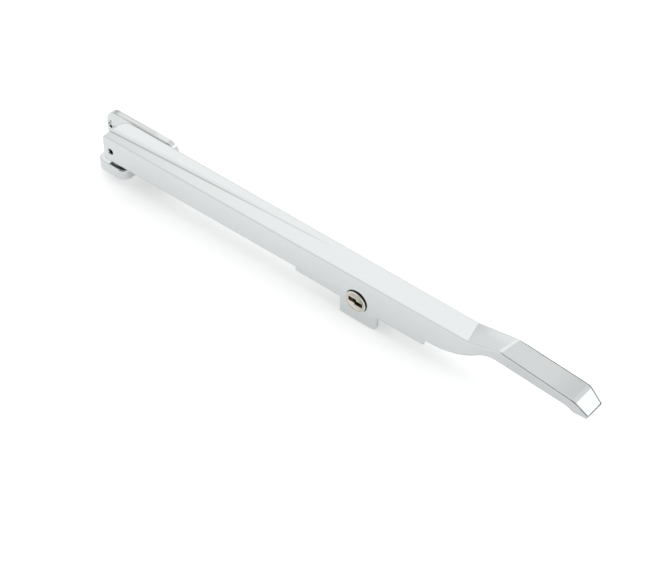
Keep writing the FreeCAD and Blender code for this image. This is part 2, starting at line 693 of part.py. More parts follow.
draw_circle(rivet, 0, 0, rivet_radius)
pad(swivel, rivet, rivet_height, backwards=True)
rivet_foot = number(rivet_top - rivet_height)
fillet(swivel, edges_where(swivel, lambda p, t, e: close(p.z, rivet_foot)), rivet_height * 0.6)
swivel_bore = new_sketch(swivel, ROLE_XZ, "swivel_bore")
draw_circle(swivel_bore, 0, 0, pin_radius + running_fit)
pocket(swivel, swivel_bore, both_ways=True)


def washer(label, bottom, height, radius, hole, x=pivot_x, y=pivot_y):
    """A flat ring about the swivel's axis."""
    body = new_body(label, x, y, bottom)
    ring = new_sketch(body, ROLE_XY, label + "_ring")
    draw_circle(ring, 0, 0, radius)
    draw_circle(ring, 0, 0, hole)
    pad(body, ring, height)
    return body


washer_hole = spigot_radius + running_fit
washer("thrust_washer", lug_top + face_fit, thrust_height, thrust_radius, washer_hole)
washer("rivet_washer", lug_bottom + rivet_height + face_fit, rivet_washer_height, disc_radius, washer_hole)

# Conical spring washer under the lug
disc = new_body("disc_spring", pivot_x, pivot_y, lug_bottom + rivet_height + rivet_washer_height + 2 * face_fit)
disc_section = new_sketch(disc, ROLE_XZ, "disc_section")
cone_rise = disc_height - disc_sheet
draw_outline(disc_section, [
    (washer_hole, cone_rise),
    (disc_radius, 0 * cone_rise),
    (disc_radius, disc_sheet),
    (washer_hole, disc_height),
])
disc_turn = disc.newObject("PartDesign::Revolution", "disc_turn")
disc_turn.Profile = disc_section
disc_turn.ReferenceAxis = (disc_section, ["V_Axis"])
disc_turn.Angle = 360
doc.recompute()

# Cross pin: a slotted spring pin pressed into the arm's walls
pin_half = half_width(pivot_setback) - pin_recess
pin_tube = cut("pin_tube", cylinder("pin_outside", pin_radius, pivot_y - pin_half, pivot_y + pin_half, pivot_x, pivot_z), [
    cylinder("pin_inside", pin_radius - pin_tube_wall, pivot_y - pin_half - LOOSE, pivot_y + pin_half + LOOSE,
             pivot_x, pivot_z),
    box("pin_slit_cut", (pivot_x - pin_slit / 2, pivot_y - pin_half - LOOSE, pivot_z - pin_radius - LOOSE),
        (pivot_x + pin_slit / 2, pivot_y + pin_half + LOOSE, pivot_z)),
])
keep(pin_tube, "cross_pin")


# Lock: everything is turned about an axis along Y

axis_x = pivot_x + lock_x
axis_z = pivot_z + lock_z
wall_face = pivot_y - lock_wall
barrel_front = wall_face - barrel_proud
barrel_back = barrel_front + barrel_length
plug_front = barrel_front + plug_recess
head_back = plug_front + plug_head_height
clip_front = wall_face + side_wall + boss_depth + 3 * face_fit
clip_back = clip_front + clip_sheet


def turned(name, radius, start, end):
    """A cylinder about the lock's axis."""
    return cylinder(name, radius, start, end, axis_x, axis_z)


def block_at(name, low_x, high_x, start, end, low_z, high_z):
    """A block given by its reach from the lock's axis in X and Z, and its start and end in Y."""
    return box(name, (axis_x + low_x, start, axis_z + low_z), (axis_x + high_x, end, axis_z + high_z))


groove_half = wafer_half_width + wafer_play
first_wafer = plug_front + wafer_first
last_wafer_back = first_wafer + wafer_pitch * (wafer_count - 1) + wafer_sheet
barrel_solid = doc.addObject("Part::Fillet", "barrel_rim")
barrel_rod = turned("barrel_rod", barrel_radius, barrel_front, barrel_back)
doc.recompute()
barrel_solid.Base = barrel_rod
rim_edge = [i + 1 for i, e in enumerate(barrel_rod.Shape.Edges) if close(e.BoundBox.YMax, barrel_front, 0.001)][0]
barrel_solid.Edges = [(rim_edge, number(barrel_rim_radius), number(barrel_rim_radius))]
barrel = cut("barrel_cut", barrel_solid, [
    turned("barrel_bore_cut", plug_radius + running_fit, barrel_front - LOOSE, barrel_back + LOOSE),
    turned("barrel_head_cut", plug_head_radius + running_fit, barrel_front - LOOSE, head_back + face_fit),
    block_at("wafer_grooves", -groove_reach, groove_reach, first_wafer - wafer_play,
             last_wafer_back + wafer_play, -groove_half, groove_half),
    cut("clip_groove", turned("clip_groove_outside", barrel_radius + LOOSE, clip_front - face_fit, clip_back + face_fit),
        [turned("clip_groove_inside", clip_groove_radius, clip_front - LOOSE, clip_back + LOOSE)]),
])
keep(barrel, "lock_barrel")

# Clip: a ring with a mouth, pushed up into the barrel's groove from below
clip_hole = clip_groove_radius + face_fit
clip = cut("clip_cut", turned("clip_disc", clip_radius, clip_front, clip_back), [
    turned("clip_hole_cut", clip_hole, clip_front - LOOSE, clip_back + LOOSE),
    block_at("clip_mouth", -clip_hole, clip_hole, clip_front - LOOSE, clip_back + LOOSE, -clip_radius - LOOSE, 0 * clip_hole),
])
keep(clip, "barrel_clip")

# Plug: head, body with keyway and wafer slots, and a flatted tail for the cam
plug_back = barrel_back + face_fit
tail_back = plug_back + cam_sheet
screw_depth = cam_screw_length - lock_washer_sheet
keyway_back = last_wafer_back + wafer_play
plug_tools = [
    block_at("keyway_one", -keyway_length / 2, keyway_lap / 2, plug_front - LOOSE, keyway_back,
             keyway_step / 2 - keyway_width / 2, keyway_step / 2 + keyway_width / 2),
    block_at("keyway_two", -keyway_lap / 2, keyway_length / 2, plug_front - LOOSE, keyway_back,
             -keyway_step / 2 - keyway_width / 2, keyway_width / 2 - keyway_step / 2),
    turned("plug_thread", cam_screw_radius + seat_fit, tail_back - screw_depth - face_fit, tail_back + LOOSE),
]
for index in range(wafer_count):
    start = first_wafer + wafer_pitch * index
    plug_tools.append(block_at(
        "wafer_slot_%d" % (index + 1), -plug_radius - LOOSE, plug_radius + LOOSE,
        start - wafer_play, start + wafer_sheet + wafer_play, -groove_half, groove_half))
    plug_tools.append(block_at(
        "spring_chamber_%d" % (index + 1), -chamber_end, chamber_end,
        start - wafer_play, start + wafer_sheet + wafer_play, 0 * chamber_end,
        wafer_half_width + wafer_lug_height + wafer_play))
plug_solid = fused("plug_solid", [
    turned("plug_head", plug_head_radius, plug_front, head_back),
    turned("plug_body", plug_radius, plug_front, plug_back),
    common("plug_tail", turned("tail_rod", tail_radius, barrel_back, tail_back),
           block_at("tail_flats", -tail_flat, tail_flat, barrel_back, tail_back, -tail_radius, tail_radius)),
])
keep(cut("plug_cut", plug_solid, plug_tools), "lock_plug")

# Wafers and their springs, drawn in as the key holds them
for index in range(wafer_count):
    start = first_wafer + wafer_pitch * index
    back = start + wafer_sheet
    tag = str(index + 1)
    plate = common("wafer_plate_" + tag, turned("wafer_disc_" + tag, plug_radius - wafer_play, start, back),
                   block_at("wafer_band_" + tag, -plug_radius, plug_radius, start, back,
                            -wafer_half_width, wafer_half_width))
    lug_block = block_at("wafer_lug_" + tag, wafer_lug_start, wafer_lug_end, start, back,
                         0 * wafer_half_width, wafer_half_width + wafer_lug_height)
    window = block_at("wafer_window_" + tag, -wafer_window / 2, wafer_window / 2, start - LOOSE, back + LOOSE,
                      -wafer_window_width / 2, wafer_window_width / 2)
    keep(cut("wafer_cut_" + tag, fused("wafer_solid_" + tag, [plate, lug_block]), [window]), "wafer_" + tag)

    spring_start = -chamber_end + face_fit + spring_wire_radius
    spring_end = wafer_lug_start - face_fit - spring_wire_radius
    coil = doc.addObject("Part::Helix", "coil_" + tag)
    bind(coil, "Pitch", spring_pitch)
    bind(coil, "Height", spring_end - spring_start)
    bind(coil, "Radius", spring_coil_radius)
    wire = doc.addObject("Part::Circle", "wire_" + tag)
    bind(wire, "Radius", spring_wire_radius)
    place(wire, spring_coil_radius, 0, 0, Rotation(Vector(1, 0, 0), 90))
    doc.recompute()
    spring = doc.addObject("Part::Sweep", "spring_sweep_" + tag)
    spring.Sections = [wire]
    spring.Spine = (coil, ["Edge1"])
    spring.Solid = True
    spring.Frenet = True
    place(spring, axis_x + spring_start, start + wafer_sheet / 2,
          axis_z + wafer_half_width + wafer_lug_height / 2, Rotation(Vector(0, 1, 0), 90))
    keep(spring, "wafer_spring_" + tag)

# Cam: lies along the arm when unlocked and turns down behind the tab
cam_front = plug_back + face_fit
cam_back = tail_back - face_fit
cam_tongue = fused("cam_tongue", [
    turned("cam_hub", cam_hub_radius, cam_front, cam_back),
    block_at("cam_bar", 0 * cam_reach, cam_reach - cam_half_width, cam_front, cam_back, -cam_half_width,
             cam_half_width),
    cylinder("cam_nose", cam_half_width, cam_front, cam_back, axis_x + cam_reach - cam_half_width, axis_z),
])
cam_hole = common(
    "cam_hole",
    turned("cam_hole_rod", tail_radius + seat_fit, cam_front - LOOSE, cam_back + LOOSE),
    block_at("cam_hole_flats", -tail_flat - seat_fit, tail_flat + seat_fit, cam_front - LOOSE, cam_back + LOOSE,
             -tail_radius - LOOSE, tail_radius + LOOSE))
keep(cut("cam_cut", cam_tongue, [cam_hole]), "cam")

# Washer and screw that hold the cam on the plug
washer_front = tail_back + face_fit
washer_back = washer_front + lock_washer_sheet
keep(cut("lock_washer_cut", turned("lock_washer_disc", cam_head_radius + face_fit * 8, washer_front, washer_back),
         [turned("lock_washer_hole", cam_screw_radius + face_fit, washer_front - LOOSE, washer_back + LOOSE)]),
     "lock_washer")
head_front = washer_back + face_fit
head_end = head_front + cam_head_height
screw_solid = fused("cam_screw_solid", [
    turned("cam_screw_shank", cam_screw_radius, head_front - cam_screw_length, head_end),
    turned("cam_screw_head", cam_head_radius, head_front, head_end),
])
keep(cut("cam_screw_cut", screw_solid, [
    block_at("cam_screw_slot", -cam_head_radius - LOOSE, cam_head_radius + LOOSE, head_end - cam_slot_depth,
             head_end + LOOSE, -cam_slot_width / 2, cam_slot_width / 2),
]), "cam_screw")
doc.recompute()

# Check every object and every piece before anything is written
for item in doc.Objects:
    if "Invalid" in item.State or "Error" in item.State:
        raise RuntimeError("%s (%s) failed: %s" % (item.Name, item.Label, item.State))
for piece in parts:
    shape = piece.Shape
    if shape.isNull() or not shape.isValid():
        raise RuntimeError("%s has no sound shape" % piece.Label)
    if len(shape.Solids) != 1:
        raise RuntimeError("%s has %d solids" % (piece.Label, len(shape.Solids)))

os.makedirs("parts", exist_ok=True)
for piece in parts:
    piece.Shape.exportStep(os.path.join("parts", piece.Label + ".step"))
    bounds = piece.Shape.BoundBox
    print("%-16s %9.2f mm3  x %.2f..%.2f  y %.2f..%.2f  z %.2f..%.2f" % (
        piece.Label, piece.Shape.Volume, bounds.XMin, bounds.XMax, bounds.YMin, bounds.YMax, bounds.ZMin, bounds.ZMax))
print("%d pieces" % len(parts))
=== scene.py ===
# %% [markdown]
# # A lockable casement stay, dressed for its portrait
# A casement stay is the bar that holds a window open: a bracket on the frame, an arm that swings on it, and
# here a key lock in the arm's side. The exact shapes arrive from CAD as a fixed frame, and none is remodelled.
# This script gives each piece its finish, and builds the floor, the light and the camera.

# %% Load the frame
import math

import bpy
from mathutils import Matrix, Vector


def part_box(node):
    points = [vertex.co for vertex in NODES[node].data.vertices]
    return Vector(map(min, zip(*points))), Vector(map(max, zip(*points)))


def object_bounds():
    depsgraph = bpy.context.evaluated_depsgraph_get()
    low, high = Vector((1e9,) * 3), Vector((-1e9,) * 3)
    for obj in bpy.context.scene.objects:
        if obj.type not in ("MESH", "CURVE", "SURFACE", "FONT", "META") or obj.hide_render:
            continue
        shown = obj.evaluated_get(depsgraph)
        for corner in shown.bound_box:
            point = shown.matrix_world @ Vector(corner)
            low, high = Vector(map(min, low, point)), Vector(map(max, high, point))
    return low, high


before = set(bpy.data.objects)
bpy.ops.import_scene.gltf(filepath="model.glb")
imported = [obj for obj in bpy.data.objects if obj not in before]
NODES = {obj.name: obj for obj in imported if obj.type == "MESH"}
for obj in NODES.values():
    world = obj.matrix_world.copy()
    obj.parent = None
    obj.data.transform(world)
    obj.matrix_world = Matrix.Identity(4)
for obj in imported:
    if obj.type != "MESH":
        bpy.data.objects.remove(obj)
cad_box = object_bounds()
MM = 0.001
print("%d nodes, box %s" % (len(NODES), [[round(v, 4) for v in corner] for corner in cad_box]))

# %% [markdown]
# ## Small tools for node materials
# A finish in Blender is a tree of nodes. The same few steps come back in each one: start it, ask where on the
# piece a point lies, add noise, stretch a value to another range, do a sum, mix two colours. They could be
# placed by hand each time, but a short function for each keeps the finishes below readable. All patterns use
# the piece's own Object coordinates, so they stay put when the stay moves.

# %% Start a finish and find a place on the piece
def new_finish(name):
    """A new node material; returns it with its node tree and its main shader."""
    finish = bpy.data.materials.new(name)
    finish.use_nodes = True
    return finish, finish.node_tree, finish.node_tree.nodes["Principled BSDF"]


def own_point(tree):
    """The point in the piece's own coordinates, in metres."""
    return tree.nodes.new("ShaderNodeTexCoord").outputs["Object"]


def own_place(tree):
    """The piece's own X, Y and Z, each on its own."""
    split = tree.nodes.new("ShaderNodeSeparateXYZ")
    tree.links.new(own_point(tree), split.inputs[0])
    return split.outputs


def add_noise(tree, point, scale, detail=3.0):
    """Noise from 0 to 1, with its scale in features per unit of the point."""
    noise = tree.nodes.new("ShaderNodeTexNoise")
    noise.inputs["Scale"].default_value = scale
    noise.inputs["Detail"].default_value = detail
    tree.links.new(point, noise.inputs["Vector"])
    return noise.outputs["Fac"]


print("finishes can be started")


# %% Sums and ranges
def spread(tree, source, low, high, start=0.0, end=1.0, smooth=False):
    """Turn a value between start and end into one between low and high."""
    span = tree.nodes.new("ShaderNodeMapRange")
    span.interpolation_type = "SMOOTHSTEP" if smooth else "LINEAR"
    span.inputs["From Min"].default_value = start
    span.inputs["From Max"].default_value = end
    span.inputs["To Min"].default_value = low
    span.inputs["To Max"].default_value = high
    tree.links.new(source, span.inputs["Value"])
    return span.outputs["Result"]


def reckon(tree, operation, *values):
    """One Math node; each value is a number or a socket."""
    step = tree.nodes.new("ShaderNodeMath")
    step.operation = operation
    for place, value in enumerate(values):
        if isinstance(value, (int, float)):
            step.inputs[place].default_value = value
        else:
            tree.links.new(value, step.inputs[place])
    return step.outputs[0]


def total(tree, *values):
    """The sum of several values."""
    result = values[0]
    for value in values[1:]:
        result = reckon(tree, "ADD", result, value)
    return result


def product(tree, *values):
    """The product of several values."""
    result = values[0]
    for value in values[1:]:
        result = reckon(tree, "MULTIPLY", result, value)
    return result


print("values can be reckoned")

# %% Mix colours
# A Mix node holds number, vector and colour sockets at once; these are its amount and its colour sockets.
MIX_AMOUNT, MIX_FIRST, MIX_SECOND, MIX_RESULT = 0, 6, 7, 2


def blend(tree, amount, first, second):
    """Mix two colours by a 0 to 1 value; each colour is written out or is a socket."""
    mix = tree.nodes.new("ShaderNodeMix")
    mix.data_type = "RGBA"
    tree.links.new(amount, mix.inputs[MIX_AMOUNT])
    for place, colour in ((MIX_FIRST, first), (MIX_SECOND, second)):
        if isinstance(colour, tuple):
            mix.inputs[place].default_value = (*colour, 1.0)
        else:
            tree.links.new(colour, mix.inputs[place])
    return mix.outputs[MIX_RESULT]


def overlay(tree, amount, colour):
    """Lay another colour over the finish's own, by a 0 to 1 value."""
    base_colour = tree.nodes["Principled BSDF"].inputs["Base Color"]
    tree.links.new(blend(tree, amount, base_colour.links[0].from_socket, colour), base_colour)


print("colours can be mixed")

# %% [markdown]
# ## Plated metals
# The arm and its bracket are zinc castings under bright chrome, and the lock is nickelled brass. Metal shows
# mostly what it reflects, so each finish is a Principled shader at full metallic. One fine noise drives three
# small things: the tone, the gloss and a bump of a few thousandths of a millimetre. They keep the reflections
# from looking drawn with a ruler, as polished castings are never quite flat. One function makes them all, with
# other numbers for each metal.

# %% A plated metal
def plated_metal(name, dark, light, smoothest, roughest, grain, height):
    """A metal finish with slightly uneven tone, gloss and surface."""
    finish, tree, shader = new_finish(name)
    noise = add_noise(tree, own_point(tree), grain)
    shader.inputs["Metallic"].default_value = 1.0
    tree.links.new(blend(tree, noise, dark, light), shader.inputs["Base Color"])
    tree.links.new(spread(tree, noise, smoothest, roughest), shader.inputs["Roughness"])
    bump = tree.nodes.new("ShaderNodeBump")
    bump.inputs["Distance"].default_value = height
    tree.links.new(noise, bump.inputs["Height"])
    tree.links.new(bump.outputs["Normal"], shader.inputs["Normal"])
    return finish


# %% Chrome, nickel, steel and brass
CHROME = {"dark": (0.695, 0.71, 0.712), "light": (0.72, 0.732, 0.735), "grain": 260.0, "height": 0.006 * MM}
NICKEL = {"dark": (0.72, 0.68, 0.60), "light": (0.80, 0.76, 0.68), "smoothest": 0.18, "roughest": 0.28,
          "grain": 1500.0, "height": 0.003 * MM}
bracket_chrome = plated_metal("bright_chrome", smoothest=0.05, roughest=0.09, **CHROME)
arm_chrome = plated_metal("ridged_chrome", smoothest=0.04, roughest=0.07, **CHROME)
plug_nickel = plated_metal("bright_nickel", **NICKEL)
barrel_nickel = plated_metal("barrel_nickel", **NICKEL)
plated_steel = plated_metal("plated_steel", dark=(0.42, 0.42, 0.43), light=(0.52, 0.52, 0.53),
                            smoothest=0.30, roughest=0.42, grain=2000.0, height=0.004 * MM)
# The swivel block's steel is duller and darker than the chrome round it. Its darkness is painted shade for the
# slot under the arm, where the block sits in shadow.
shade_dark_steel = plated_metal("shade_dark_steel", dark=(0.30, 0.31, 0.30), light=(0.38, 0.39, 0.38),
                          smoothest=0.40, roughest=0.55, grain=1800.0, height=0.006 * MM)
# The wafers' brass is far darker than brass is. This is painted shade for the inside of the keyway, where the
# wafers are seen.
shade_dark_brass = plated_metal("shade_dark_brass", dark=(0.20, 0.15, 0.08), light=(0.28, 0.21, 0.11),
                             smoothest=0.30, roughest=0.45, grain=2500.0, height=0.004 * MM)
print("metals made")

# %% [markdown]
# ## The bracket's narrow top edge
# The flange's top edge is a cut edge under the same plating. It is finely ribbed, and duller than the faces,
# most of all round the corner that lies away from the handle. It could be a second material on those faces,
# but a mask by height needs no change to the piece. Noise that is squeezed far more across the edge than along
# it gives the ribs.

# %% Where the edge is, and its ribs
EDGE_FROM, EDGE_TO = 6.95 * MM, 7.40 * MM
RIB_SQUEEZE = (60.0, 1600.0, 300.0)
RIB_LIGHT, RIB_DARK = 0.08, 0.60
NOISE_LOW, NOISE_HIGH = 0.3, 0.7
bracket_tree = bracket_chrome.node_tree
bracket_place = own_place(bracket_tree)
on_edge = spread(bracket_tree, bracket_place["Z"], 0.0, 1.0, EDGE_FROM, EDGE_TO, smooth=True)
squeeze = bracket_tree.nodes.new("ShaderNodeMapping")
squeeze.inputs["Scale"].default_value = RIB_SQUEEZE
bracket_tree.links.new(own_point(bracket_tree), squeeze.inputs["Vector"])
ribs = add_noise(bracket_tree, squeeze.outputs["Vector"], 1.0, detail=2.0)
rib_tone = spread(bracket_tree, ribs, RIB_LIGHT, RIB_DARK, NOISE_LOW, NOISE_HIGH)
print("flange edge found from z %.4f m upwards" % EDGE_FROM)

# %% Dull the edge
RIBS_FADE_FROM, RIBS_FADE_TO, RIBS_KEPT = 7 * MM, 11 * MM, 0.15
CORNER_FROM, CORNER_TO, CORNER_DULLNESS = -17 * MM, -12 * MM, 0.45
EDGE_COLOUR = (0.40, 0.40, 0.375)
bracket_x = bracket_place["X"]
handle_side = spread(bracket_tree, bracket_x, 1.0, RIBS_KEPT, RIBS_FADE_FROM, RIBS_FADE_TO, smooth=True)
corner_side = spread(bracket_tree, bracket_x, CORNER_DULLNESS, 0.0, CORNER_FROM, CORNER_TO, smooth=True)
dullness = total(bracket_tree, corner_side, product(bracket_tree, rib_tone, handle_side))
overlay(bracket_tree, product(bracket_tree, on_edge, dullness), EDGE_COLOUR)
print("flange edge dulled")

# %% [markdown]
# ## The faceted top of the arm
# The arm's top is not quite flat. From the pivot on, a faint ridge runs along it. On the near side of the
# ridge the top falls a little towards the front, and beyond it the top swells gently down towards the flange.
# The ridge drifts across the arm, and dies out before the handle. Another gentle swell bends the grip's far
# end down. All this is well under a millimetre, so it is a height for the bump of the chrome's own finish. It
# is reckoned from the distance to the ridge, and for the grip from the distance along the arm.

# %% Height of the ridge
def dropped(tree, distance, radius):
    """How far a curve of this radius has dropped at this distance, as a height below zero."""
    return product(tree, distance, distance, -1 / (2 * radius))


RIDGE_START_Y, RIDGE_DRIFT = -12.75 * MM, 0.0428
NEAR_SLOPE, RIDGE_TURN, SWELL_RADIUS = 0.03, 0.032, 80 * MM
FADE_START, FADE_END = 120 * MM, 170 * MM
arm_tree = arm_chrome.node_tree
arm_place = own_place(arm_tree)
ridge_y = total(arm_tree, RIDGE_START_Y, product(arm_tree, arm_place["X"], RIDGE_DRIFT))
from_ridge = reckon(arm_tree, "SUBTRACT", arm_place["Y"], ridge_y)
beyond = reckon(arm_tree, "MAXIMUM", from_ridge, 0.0)
before = reckon(arm_tree, "MINIMUM", from_ridge, 0.0)
profile = total(arm_tree, dropped(arm_tree, beyond, SWELL_RADIUS), product(arm_tree, beyond, -RIDGE_TURN),
                product(arm_tree, before, NEAR_SLOPE))
ridge_fade = spread(arm_tree, arm_place["X"], 1.0, 0.0, FADE_START, FADE_END, smooth=True)
ridge_height = product(arm_tree, profile, ridge_fade)
print("ridge starts at y %.4f m and fades out by x %.3f m" % (RIDGE_START_Y, FADE_END))

# %% Height of the grip's drooping end
DROOP_START, DROOP_LENGTH, DROOP_RADIUS = 226 * MM, 12.5 * MM, 240 * MM
past_start = reckon(arm_tree, "SUBTRACT", arm_place["X"], DROOP_START)
past_start = reckon(arm_tree, "MINIMUM", reckon(arm_tree, "MAXIMUM", past_start, 0.0), DROOP_LENGTH)
grip_droop = dropped(arm_tree, past_start, DROOP_RADIUS)
print("grip droops by %.2f mm" % (DROOP_LENGTH ** 2 / (2 * DROOP_RADIUS) / MM))

# %% [markdown]
# ## Eased edges
# A real casting's edges are rounded before it is plated, and each rounding draws a thin line of whatever lies
# to the side of it. The CAD rounds the arm's long top edges and its folds, and leaves the others sharp. More
# rounding on the mesh would change the piece, so a Bevel node eases only the normals near an edge. The ridge,
# the droop and the fine grain of the plating come on top of it.

# %% Put the arm's surface together
EDGE_EASE, EDGE_SAMPLES = 0.95 * MM, 8
arm_bump = arm_tree.nodes["Bump"]
plating_grain = product(arm_tree, arm_bump.inputs["Height"].links[0].from_socket, CHROME["height"])
arm_bump.inputs["Distance"].default_value = 1.0
arm_tree.links.new(total(arm_tree, ridge_height, grip_droop, plating_grain), arm_bump.inputs["Height"])
eased_edge = arm_tree.nodes.new("ShaderNodeBevel")
eased_edge.samples = EDGE_SAMPLES
eased_edge.inputs["Radius"].default_value = EDGE_EASE
arm_tree.links.new(eased_edge.outputs["Normal"], arm_bump.inputs["Normal"])
print("edges eased by %.2f mm" % (EDGE_EASE / MM))

# %% [markdown]
# ## The crease at the ridge
# Where the two slopes meet, the chrome shows a thin dark line in its reflection. It is darkest by the pivot,
# weaker further on, and gone before the ridge is. It is a painted reflection: a line of dark colour along
# the ridge, full in its core and gone at its edge.

# %% Paint the dark reflection line along the ridge
RIDGE_LINE_CORE, RIDGE_LINE_EDGE = 0.15 * MM, 0.75 * MM
RIDGE_LINE_AT_PIVOT, RIDGE_LINE_FURTHER_ON = 0.34, 0.16
RIDGE_LINE_TURNS, RIDGE_LINE_SETTLES = 45 * MM, 80 * MM
RIDGE_LINE_THINS, RIDGE_LINE_ENDS = 95 * MM, 118 * MM
PAINTED_REFLECTION_COLOUR = (0.06, 0.06, 0.05)
sideways = reckon(arm_tree, "ABSOLUTE", from_ridge)
painted_reflection_line = spread(arm_tree, sideways, 1.0, 0.0, RIDGE_LINE_CORE, RIDGE_LINE_EDGE, smooth=True)
arm_x = arm_place["X"]
painted_reflection_depth = spread(arm_tree, arm_x, RIDGE_LINE_AT_PIVOT, RIDGE_LINE_FURTHER_ON, RIDGE_LINE_TURNS, RIDGE_LINE_SETTLES)
painted_reflection_end = spread(arm_tree, arm_x, 1.0, 0.0, RIDGE_LINE_THINS, RIDGE_LINE_ENDS, smooth=True)
# The overlay paints a dark line that stands in for the ridge's dark reflection.
overlay(arm_tree, product(arm_tree, painted_reflection_line, painted_reflection_depth, painted_reflection_end), PAINTED_REFLECTION_COLOUR)
print("crease drawn to x %.3f m" % RIDGE_LINE_ENDS)

# %% [markdown]
# ## The lock barrel
# Only the barrel's front face has the nickel of the plug. Its turned side is painted near black, as painted
# shade, and shows as a thin dark ring where the barrel stands out of the arm. The two could be two materials,
# but the face is flat, so everything behind it in Y is the side, and one comparison tells them apart.

# %% Nickel face with painted shade on the side
FACE_ENDS_Y = -17.20 * MM
PAINTED_SHADE_ON_SIDE = (0.03, 0.03, 0.035)
barrel_tree = barrel_nickel.node_tree
behind_face = reckon(barrel_tree, "GREATER_THAN", own_place(barrel_tree)["Y"], FACE_ENDS_Y)
# Painted shade: near black colour on the barrel's side, behind its face.
overlay(barrel_tree, behind_face, PAINTED_SHADE_ON_SIDE)
print("barrel dark behind y %.4f m" % FACE_ENDS_Y)

# %% [markdown]
# ## The plug's face
# The face is painted darker and brownish towards its upper right. This is painted shade, and coarse noise
# makes it unevenly smudged. A ramp across the face says how much. The ramp is measured from the
# lock's axis, which is read from the barrel's own box, so it stays with the lock.

# %% Paint shade and smudges on the plug's face
PLUG_SHADE_FROM, PLUG_SHADE_TO = -4 * MM, 7 * MM
SMUDGE_GRAIN, SMUDGE_LEAST = 420.0, 0.6
SMUDGE_LOW, SMUDGE_HIGH = 0.35, 0.65
SHADE_AND_SMUDGE_COLOUR = (0.30, 0.285, 0.225)
lock_low, lock_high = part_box("lock_barrel")
LOCK_X, LOCK_Z = (lock_low[0] + lock_high[0]) / 2, (lock_low[2] + lock_high[2]) / 2
plug_tree = plug_nickel.node_tree
plug_place = own_place(plug_tree)
uphill = total(plug_tree, reckon(plug_tree, "SUBTRACT", plug_place["X"], LOCK_X),
               reckon(plug_tree, "SUBTRACT", plug_place["Z"], LOCK_Z))
smudge = add_noise(plug_tree, own_point(plug_tree), SMUDGE_GRAIN)
darkened = product(plug_tree, spread(plug_tree, uphill, 0.0, 1.0, PLUG_SHADE_FROM, PLUG_SHADE_TO),
                 spread(plug_tree, smudge, SMUDGE_LEAST, 1.0, SMUDGE_LOW, SMUDGE_HIGH))
# Painted shade towards the upper right, made uneven by smudge noise.
overlay(plug_tree, darkened, SHADE_AND_SMUDGE_COLOUR)
print("plug dulled round the lock's axis at x %.4f z %.4f m" % (LOCK_X, LOCK_Z))

# %% [markdown]
# ## Nylon for the thrust washer
# The washer between bracket and swivel is moulded in natural nylon: milky, a little see-through at its rim,
# and slightly mottled. Subsurface scattering over half a millimetre gives the milkiness.

# %% Natural nylon
NYLON_DARK, NYLON_LIGHT = (0.66, 0.64, 0.58), (0.76, 0.74, 0.68)
NYLON_SMOOTHEST, NYLON_ROUGHEST, NYLON_GRAIN = 0.45, 0.60, 1800.0
NYLON_SCATTER, NYLON_DEPTH = 0.1, 0.5 * MM
nylon, nylon_tree, nylon_shader = new_finish("natural_nylon")
mottle = add_noise(nylon_tree, own_point(nylon_tree), NYLON_GRAIN)
nylon_tree.links.new(blend(nylon_tree, mottle, NYLON_DARK, NYLON_LIGHT), nylon_shader.inputs["Base Color"])
nylon_roughness = spread(nylon_tree, mottle, NYLON_SMOOTHEST, NYLON_ROUGHEST)
nylon_tree.links.new(nylon_roughness, nylon_shader.inputs["Roughness"])
nylon_shader.inputs["Subsurface Weight"].default_value = NYLON_SCATTER
nylon_shader.inputs["Subsurface Scale"].default_value = NYLON_DEPTH
print("nylon made")

# %% [markdown]
# ## Who wears what
# Each CAD piece keeps its shape and only changes its finish, through its own material slots. One table says
# which finish goes on which piece, so that none is forgotten.

# %% Dress the CAD pieces
WARDROBE = {
    arm_chrome: ["arm_casting"],
    bracket_chrome: ["pivot_bracket"],
    shade_dark_steel: ["swivel_block"],
    barrel_nickel: ["lock_barrel"],
    plug_nickel: ["lock_plug"],
    plated_steel: ["cross_pin", "barrel_clip", "rivet_washer", "disc_spring", "cam", "lock_washer",
                   "cam_screw", "wafer_spring_1", "wafer_spring_2", "wafer_spring_3", "wafer_spring_4"],
    shade_dark_brass: ["wafer_1", "wafer_2", "wafer_3", "wafer_4"],
    nylon: ["thrust_washer"],
}
for finish, names in WARDROBE.items():
    for name in names:
        for slot in NODES[name].material_slots:
            slot.material = finish
print("dressed %d of %d pieces" % (sum(len(names) for names in WARDROBE.values()), len(NODES)))

# %% [markdown]
# ## The paper floor
# A pale sheet stands for the table. Its plain diffuse part takes the stay's soft shadow. A glow is added on
# top, and each kind of ray sees its own: the camera an even one that lifts the paper to white, and the metal
# one that changes along the stay. The arm's upright side shows nothing but this floor, so that second glow
# is what shades the side: lightest a little past the pivot, and falling off under the handle.

# %% Lay the sheet and give it a paper finish
SHEET_SIZE, SHEET_MIDDLE_X, SHEET_GAP = 6.0, 0.12, 1.0 * MM
PAPER_COLOUR, PAPER_ROUGHNESS = (0.80, 0.80, 0.80), 0.9
FLOOR_Z = cad_box[0][2] - SHEET_GAP
bpy.ops.mesh.primitive_plane_add(size=SHEET_SIZE, location=(0, 0, 0))
floor = bpy.context.object
floor.name = "floor"
floor.data.transform(Matrix.Translation((SHEET_MIDDLE_X, 0, FLOOR_Z)))
paper, paper_tree, paper_shader = new_finish("white_paper")
paper_shader.inputs["Base Color"].default_value = (*PAPER_COLOUR, 1.0)
paper_shader.inputs["Roughness"].default_value = PAPER_ROUGHNESS
paper_shader.inputs["Specular IOR Level"].default_value = 0.0
print("floor lies at z %.4f m" % FLOOR_Z)

